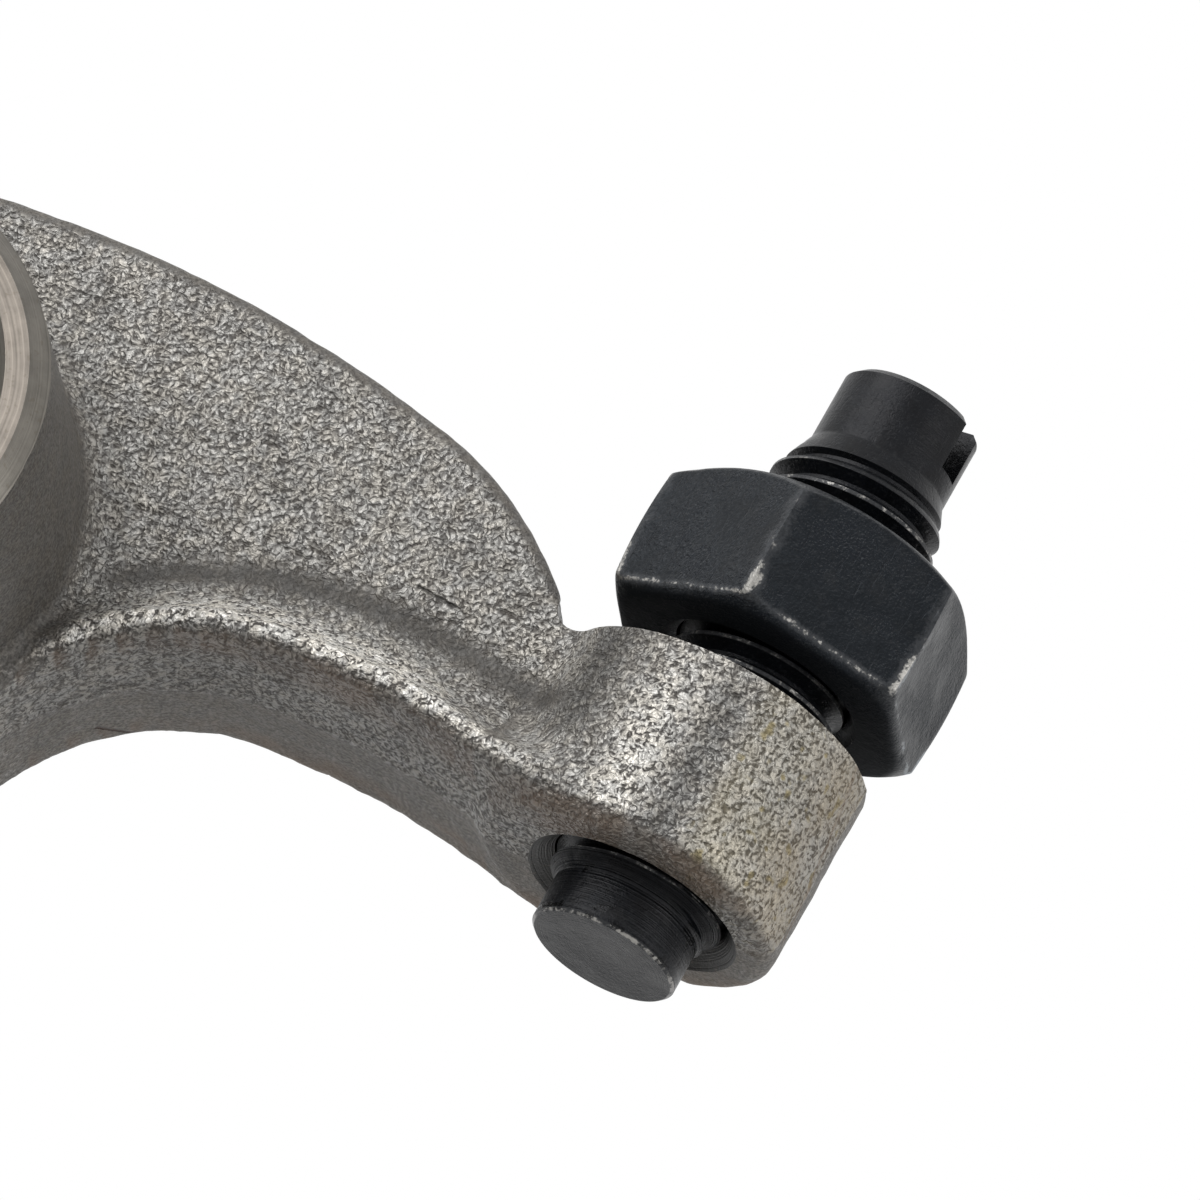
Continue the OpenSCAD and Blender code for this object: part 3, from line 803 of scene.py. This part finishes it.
class ROCKER_OT_arm(bpy.types.Operator):
    """Makes the cast arm with its machined bore, end faces, nut seat and screw hole"""
    bl_idname = "rocker_arm.arm"
    bl_label = "Cast arm"

    def execute(self, context):
        s = context.scene.rocker_arm
        hub = (0, 0, 0), (math.pi / 2, 0, 0)
        mouth = (SCREW_X, 0, 0), (math.pi, 0, 0)
        seat = (SCREW_X, 0, 0), (0, 0, 0)
        materials = [
            cast_skin(s),
            machined("ground_face", s.face, *hub, spacing=0.16, relief=0.004, roughness=0.42),
            machined("turned_bevel", s.turned, *hub, spacing=0.14, relief=0.008, roughness=0.4),
            machined("honed_bore", srgb(112, 108, 102), *hub, spacing=0.07, relief=0.003, roughness=0.28),
            machined("drilled_mouth", srgb(40, 38, 35), *mouth, spacing=0.22, relief=0.05, roughness=0.42, dull=0.35),
            machined("faced_seat", srgb(92, 89, 84), *seat, spacing=0.22, relief=0.012, roughness=0.36),
        ]
        piece = piece_from(arm_stock(), "cast_arm", [])
        apply(piece, "REMESH", mode="VOXEL", voxel_size=s.grid / MM)
        bm = bmesh.new()
        bm.from_mesh(piece.data)
        for _ in range(4):
            bmesh.ops.smooth_vert(bm, verts=bm.verts, factor=0.5, use_axis_x=True, use_axis_y=True, use_axis_z=True)
        bmesh.ops.recalc_face_normals(bm, faces=bm.faces)
        bm.to_mesh(piece.data)
        bm.free()
        uneven(piece.data, s.unevenness / MM)
        ground_pad(piece.data)
        for material in materials:
            piece.data.materials.append(material)
        cut(piece, bore_tool(), materials)
        cut(piece, seat_tool(), materials)
        skin_values(piece.data)
        deliver(piece, "arm_casting", "arm", 32)
        return {"FINISHED"}


# ---------------- adjusting screw

def screw_envelope(z):
    """Largest radius of the screw at a height."""
    corners = [
        (SCREW_LOW, TIP_R - 0.15), (SCREW_LOW + 0.15, TIP_R), (TIP_END, TIP_R),
        (TIP_END + THREAD_R - TIP_R, THREAD_R), (NECK_START - RUN_OUT, THREAD_R),
        (NECK_START, NECK_R), (SCREW_HIGH - 0.3, NECK_R), (SCREW_HIGH, NECK_R - 0.3),
    ]
    if z <= corners[0][0]:
        return corners[0][1]
    for (z0, r0), (z1, r1) in zip(corners, corners[1:]):
        if z <= z1:
            return r0 + (r1 - r0) * (z - z0) / (z1 - z0)
    return corners[-1][1]


def sliced(bm, z, drop=0):
    """Cuts new edges round bm at a height; drop, 1 or -1, also takes off what is above or below."""
    bmesh.ops.bisect_plane(
        bm, geom=bm.verts[:] + bm.edges[:] + bm.faces[:], plane_co=(0, 0, z), plane_no=(0, 0, drop or 1),
        dist=1e-4, clear_outer=bool(drop)
    )


def threaded_rod(pitch, depth):
    """A rod with a real helical thread, held within the screw's envelope."""
    root, flank = THREAD_R - depth, depth * math.tan(math.radians(30))
    flat = (pitch - 2 * flank) / 2
    stops = [
        (root, 0), (root, flat), (root + depth / 2, flat + flank / 2), (THREAD_R, flat + flank),
        (THREAD_R, 2 * flat + flank), (root + depth / 2, 2 * flat + 1.5 * flank), (root, pitch)
    ]
    turns = math.ceil((SCREW_HIGH - SCREW_LOW) / pitch) + 3
    steps = 80
    bm = bmesh.new()
    start = SCREW_LOW - 1.5 * pitch
    points = [bm.verts.new((r, 0, start + z)) for r, z in stops]
    edges = [bm.edges.new(pair) for pair in zip(points, points[1:])]
    bmesh.ops.spin(
        bm, geom=points + edges, cent=(0, 0, 0), axis=(0, 0, 1), dvec=(0, 0, pitch / steps),
        angle=2 * math.pi * turns, steps=steps * turns, use_merge=False
    )
    bmesh.ops.remove_doubles(bm, verts=bm.verts, dist=1e-3)
    for z in (SCREW_LOW + 0.15, TIP_END, TIP_END + THREAD_R - TIP_R, NECK_START, SCREW_HIGH - 0.3):
        sliced(bm, z)
    sliced(bm, SCREW_LOW, -1)
    sliced(bm, SCREW_HIGH, 1)
    for vert in bm.verts:
        r = math.hypot(vert.co.x, vert.co.y)
        keep = min(r, screw_envelope(vert.co.z)) / r
        vert.co.x *= keep
        vert.co.y *= keep
    bmesh.ops.remove_doubles(bm, verts=bm.verts, dist=1e-3)
    for z in (SCREW_LOW, SCREW_HIGH):
        rim = [e for e in bm.edges if e.is_boundary and all(abs(v.co.z - z) < 0.01 for v in e.verts)]
        cap = bmesh.ops.holes_fill(bm, edges=rim, sides=0)["faces"]
        bmesh.ops.inset_region(bm, faces=cap, thickness=0.12, depth=0.0, use_even_offset=True)
        bmesh.ops.inset_region(bm, faces=cap, thickness=0.9, depth=0.02 if z < 0 else 0.0, use_even_offset=True)
    bmesh.ops.recalc_face_normals(bm, faces=bm.faces)
    return bm


def screw_edges(nodes, place):
    """The screw's thread crests and the rims of its two ends."""
    across, height = nodes.round_axis(place)
    crest = nodes.ease(across, THREAD_R - 0.06, THREAD_R - 0.01, 0.0, 1.05)
    low = nodes.times(
        nodes.ease(height, SCREW_LOW + 0.22, SCREW_LOW + 0.1),
        nodes.ease(across, TIP_R - 0.25, TIP_R - 0.12, 0.0, 1.2),
    )
    high = nodes.times(
        nodes.ease(height, SCREW_HIGH - 0.4, SCREW_HIGH - 0.2),
        nodes.ease(across, NECK_R - 0.5, NECK_R - 0.25, 0.0, 0.7),
    )
    return nodes.math("MAXIMUM", crest, nodes.math("MAXIMUM", low, high))


def screw_oil(nodes, place):
    """Patches of oil round the screw's tip, and thinner ones above it."""
    height = nodes.round_axis(place)[1]
    low = nodes.ease(height, TIP_END + 0.3, TIP_END)
    low = nodes.times(low, nodes.ease(height, SCREW_LOW + 0.02, SCREW_LOW + 0.1))
    patch = nodes.ease(nodes.noise(place, 2.6, 3.0, 0.55), 0.55, 0.57)
    return nodes.times(patch, nodes.ease(low, 0.0, 1.0, 0.25, 1.0))


def screw_rings(nodes, place):
    """How much deeper the turning rings are: most on the cone above the tip, some on the tip."""
    height = nodes.round_axis(place)[1]
    cone = nodes.times(nodes.ease(height, TIP_END - 0.1, TIP_END + 0.05), nodes.ease(height, 0.3, 0.1))
    tip = nodes.ease(height, TIP_END, TIP_END - 0.2)
    return nodes.plus(nodes.times(cone, 14.0), nodes.times(tip, 1.5))


class ROCKER_OT_screw(bpy.types.Operator):
    """Makes the adjusting screw with its real thread, plain tip, turned neck and slot"""
    bl_idname = "rocker_arm.screw"
    bl_label = "Adjusting screw"

    def execute(self, context):
        s = context.scene.rocker_screw
        material = black_oxide(
            "screw_black", s.oxide, sheen=(0.76, 0.76, 0.79, 1.0), worn=s.worn,
            edge=screw_edges, deep=screw_rings, oil_and_shade=screw_oil, film=-0.16,
            spacing=0.1, relief=0.011, roughness=0.3, wrinkled=1.5,
        )
        piece = piece_from(threaded_rod(s.pitch / MM, s.depth / MM), "threaded_screw", [material])
        slot = bmesh.new()
        bmesh.ops.create_cube(slot, size=1.0)
        deep = s.slot_depth / MM
        bmesh.ops.scale(slot, vec=(4 * THREAD_R, s.slot_w / MM, 2 * deep), verts=slot.verts)
        bmesh.ops.rotate(slot, matrix=Matrix.Rotation(s.slot_turn, 3, "Z"), verts=slot.verts)
        bmesh.ops.translate(slot, vec=(0, 0, SCREW_HIGH), verts=slot.verts)
        cut(piece, slot, [material])
        piece.data.transform(Matrix.Translation((SCREW_X, 0, 0)))
        deliver(piece, "adjusting_screw", "screw", 28)
        return {"FINISHED"}


# ---------------- lock nut

def nut_blank():
    """A ring with a fine grid on its outside, turned about Z, and the radius of its faces' rims."""
    face_r = NUT_W / 2 - 0.15
    rows = [
        0.0, 0.08, 0.16, 0.24, 0.32, 0.4, 0.48, 0.56, 0.64, 0.72,
        0.8, 0.9, 1.0, 1.15, 1.35, 1.6, 1.9, 2.25, 2.6, 2.95,
    ]
    heights = rows + [NUT_H / 2] + [NUT_H - z for z in reversed(rows)]
    mouth = HOLE_R + 0.6
    profile = [(face_r, z) for z in heights]
    profile += [(r, NUT_H) for r in (6.2, 6.05, 5.6, 5.1, mouth + 0.12, mouth)]
    profile += [(HOLE_R, NUT_H - 0.6), (HOLE_R, NUT_H / 2), (HOLE_R, 0.6)]
    profile += [(r, 0) for r in (mouth, mouth + 0.12, 5.0, 5.3, 5.6)]
    profile += [(face_r, 0)]
    return lathe(profile, 288), face_r


def softer_min(a, b, width):
    """The smaller of two values, with the corner between them rounded."""
    t = max(0.0, width - abs(a - b)) / width
    return min(a, b) - t * t * width / 4


class ROCKER_OT_nut(bpy.types.Operator):
    """Makes the hexagonal lock nut with its turned corners and worn edges"""
    bl_idname = "rocker_arm.nut"
    bl_label = "Lock nut"

    def execute(self, context):
        s = context.scene.rocker_nut
        bm, face_r = nut_blank()
        width, low_edge, swollen = s.edge / MM, s.low_edge / MM, s.bulge / MM
        slope = math.tan(math.radians(60))
        edge_at = bm.verts.layers.float.new("edge")
        lower_face_shade_at = bm.verts.layers.float.new("under")
        for vert in bm.verts:
            x, y, z = vert.co
            r, turn = math.hypot(x, y), math.atan2(y, x)
            # Painted shade on the nut's lower face, which faces the boss: 1 there, easing to 0 by 0.3 mm up.
            vert[lower_face_shade_at] = smooth(0.3, 0.0, z)
            if r < face_r - 0.01:
                rim = max(0.0, 1 - abs(r - HOLE_R - 0.6) / 0.15)
                vert[edge_at] = 0.8 * rim * (abs(z - NUT_H / 2) > NUT_H / 2 - 0.1)
                continue
            side = (turn + math.pi / 6) % (math.pi / 3) - math.pi / 6
            to_corner = NUT_W / 2 * math.tan(math.pi / 6 - abs(side))
            low_round = max(0.0, low_edge - z)
            inset = low_edge - math.sqrt(low_edge ** 2 - low_round ** 2)
            bulge = swollen * math.sin(math.pi * z / NUT_H) * (side / math.radians(30)) ** 4
            flat = (NUT_W / 2 - inset) / math.cos(side) + bulge
            flat -= max(0.0, width * 1.5 - to_corner) ** 2 / (width * 8)
            cone = face_r + (NUT_H - z) * slope
            if z < NUT_H / 2:
                cone = face_r - 0.25 + (z + 0.25) * slope
            dent = max(0.0, noise.noise(Vector((x, y, z)) / 0.8) - 0.25) * 0.12
            on_edge = max(
                bell(to_corner, 0, 0.36) * (0.8 + 0.4 * smooth(2.8, 1.0, z) if cone > flat - 0.1 else 0.5),
                0.8 * bell(flat, cone, 0.15) * (z > NUT_H / 2),
                0.95 * bell(z, low_edge * 0.85, 0.24),
            )
            new_r = softer_min(flat, cone, width * 2) - dent * on_edge
            vert[edge_at] = on_edge
            vert.co.x *= new_r / r
            vert.co.y *= new_r / r
        for vert in bm.verts:
            vert.co.z = max(vert.co.z, NUT_CLEAR)
        turn = Matrix.Rotation(s.turn, 4, "Z")
        bmesh.ops.transform(bm, matrix=Matrix.Translation((SCREW_X, 0, NUT_LOW)) @ turn, verts=bm.verts)
        bmesh.ops.recalc_face_normals(bm, faces=bm.faces)
        material = black_oxide(
            "nut_black", s.oxide, sheen=(0.68, 0.76, 0.86, 1.0), worn=s.worn,
            edge=lambda nodes, place: nodes.value("edge"),
            deep=lambda nodes, place: 0.0,
            # Painted shade: the coat is darkened on the nut's lower face, toward the boss.
            oil_and_shade=lambda nodes, place: nodes.value("under"), film=0.5,
            spacing=0.3, relief=0.015, roughness=0.33, wrinkled=3.0,
        )
        piece = piece_from(bm, "hex_nut", [material])
        deliver(piece, "lock_nut", "nut", 34)
        return {"FINISHED"}


# ---------------- stage

def view_axes(azimuth, elevation, roll):
    """The camera's right, up and back directions."""
    level = math.cos(elevation)
    back = Vector((level * math.sin(azimuth), -level * math.cos(azimuth), math.sin(elevation)))
    right = Vector((0, 0, 1)).cross(back).normalized()
    up = back.cross(right)
    turn = Matrix.Rotation(roll, 3, back)
    return turn @ right, turn @ up, back


def lamp(name, axes, towards, distance, size, power):
    """A square soft lamp that looks at the part from a direction given in the camera's axes."""
    right, up, back = axes
    way = (right * towards[0] + up * towards[1] + back * towards[2]).normalized()
    data = bpy.data.lights.new(name, "AREA")
    data.shape = "SQUARE"
    data.size = size
    data.energy = power
    light = bpy.data.objects.new(name, data)
    light.location = Vector(LIT_SPOT) + way * distance
    light.rotation_euler = way.to_track_quat("Z", "Y").to_euler()
    bpy.context.scene.collection.objects.link(light)


def seen_white(nodes, lit, plain):
    """A plain white background for the camera and for reflections, and the lit one for all else."""
    path = nodes.add("ShaderNodeLightPath").outputs
    mirrored = nodes.math("MAXIMUM", path["Is Glossy Ray"], path["Is Transmission Ray"])
    seen = nodes.math("MAXIMUM", path["Is Camera Ray"], mirrored)
    return nodes.add("ShaderNodeMixShader", {0: seen, 1: lit, 2: plain}).outputs[0]


class ROCKER_OT_stage(bpy.types.Operator):
    """Sets the floor, the soft lamps, the pale surround and the camera"""
    bl_idname = "rocker_arm.stage"
    bl_label = "Stage"

    def execute(self, context):
        s = context.scene.rocker_stage
        scene = context.scene
        bm = bmesh.new()
        bmesh.ops.create_grid(bm, x_segments=2, y_segments=2, size=FLOOR_HALF)
        bmesh.ops.translate(bm, vec=(0, 0, FLOOR_Z), verts=bm.verts)
        material, nodes, shader = new_material("studio_floor")
        point = nodes.add("ShaderNodeTexCoord").outputs["Object"]
        shade = nodes.add("ShaderNodeTexNoise", {"Vector": point, "Scale": 1.5}).outputs["Fac"]
        worn = nodes.ease(shade, 0.3, 0.7, 0.0, 0.1)
        nodes.feed(shader.inputs["Base Color"], nodes.blend(worn, tuple(s.floor), srgb(215, 215, 212)))
        nodes.feed(shader.inputs["Roughness"], 0.8)
        white = nodes.add("ShaderNodeEmission", {"Color": (1, 1, 1, 1), "Strength": 1.0})
        out = material.node_tree.nodes["Material Output"]
        nodes.feed(out.inputs["Surface"], seen_white(nodes, shader.outputs[0], white.outputs[0]))
        floor = piece_from(bm, "studio_floor", [material])

        world = bpy.data.worlds.new("studio")
        world.use_nodes = True
        nodes = Tree(world.node_tree)
        lit = nodes.add("ShaderNodeBackground", {"Color": (1, 1, 1, 1), "Strength": s.surround})
        white = nodes.add("ShaderNodeBackground", {"Color": (1, 1, 1, 1), "Strength": 1.0})
        out = world.node_tree.nodes["World Output"]
        nodes.feed(out.inputs["Surface"], seen_white(nodes, lit.outputs[0], white.outputs[0]))
        scene.world = world

        axes = view_axes(s.azimuth, s.elevation, s.roll)
        lamp("key", axes, KEY_FROM, distance=1.0, size=1.0, power=s.key)
        lamp("fill", axes, FILL_FROM, distance=1.2, size=0.8, power=s.key * FILL_SHARE)

        target = Vector(VIEW_TARGET) * MM
        camera = bpy.data.cameras.new("camera")
        camera.sensor_width = FILM_WIDTH
        camera.lens = FILM_WIDTH * s.distance / s.across
        camera.clip_end = 50
        eye = bpy.data.objects.new("camera", camera)
        eye.matrix_world = Matrix.Translation(target + axes[2] * s.distance) @ Matrix(axes).transposed().to_4x4()
        scene.collection.objects.link(eye)
        scene.camera = eye
        scene.view_settings.view_transform = "Standard"
        return {"FINISHED"}


class ROCKER_PT_panel(bpy.types.Panel):
    """Lists the steps and the settings in the sidebar"""
    bl_label = "Rocker arm"
    bl_space_type = "VIEW_3D"
    bl_region_type = "UI"
    bl_category = "Rocker arm"

    def draw(self, context):
        for operator, settings in STEPS:
            self.layout.operator(operator.bl_idname)
            held = getattr(context.scene, settings)
            for key in held.bl_rna.properties.keys():
                if key not in {"rna_type", "name"}:
                    self.layout.prop(held, key)


STEPS = (
    (ROCKER_OT_arm, "rocker_arm"),
    (ROCKER_OT_screw, "rocker_screw"),
    (ROCKER_OT_nut, "rocker_nut"),
    (ROCKER_OT_stage, "rocker_stage"),
)
SETTINGS = {
    "rocker_arm": ArmSettings,
    "rocker_screw": ScrewSettings,
    "rocker_nut": NutSettings,
    "rocker_stage": StageSettings,
}
CLASSES = (*SETTINGS.values(), *(step[0] for step in STEPS), ROCKER_PT_panel)


def register():
    for kind in CLASSES:
        bpy.utils.register_class(kind)
    for name, kind in SETTINGS.items():
        setattr(bpy.types.Scene, name, bpy.props.PointerProperty(type=kind))


def unregister():
    for name in SETTINGS:
        delattr(bpy.types.Scene, name)
    for kind in reversed(CLASSES):
        bpy.utils.unregister_class(kind)


def main():
    register()
    bpy.ops.rocker_arm.arm()
    bpy.ops.rocker_arm.screw()
    bpy.ops.rocker_arm.nut()
    bpy.ops.rocker_arm.stage()


if __name__ == "__main__":
    main()
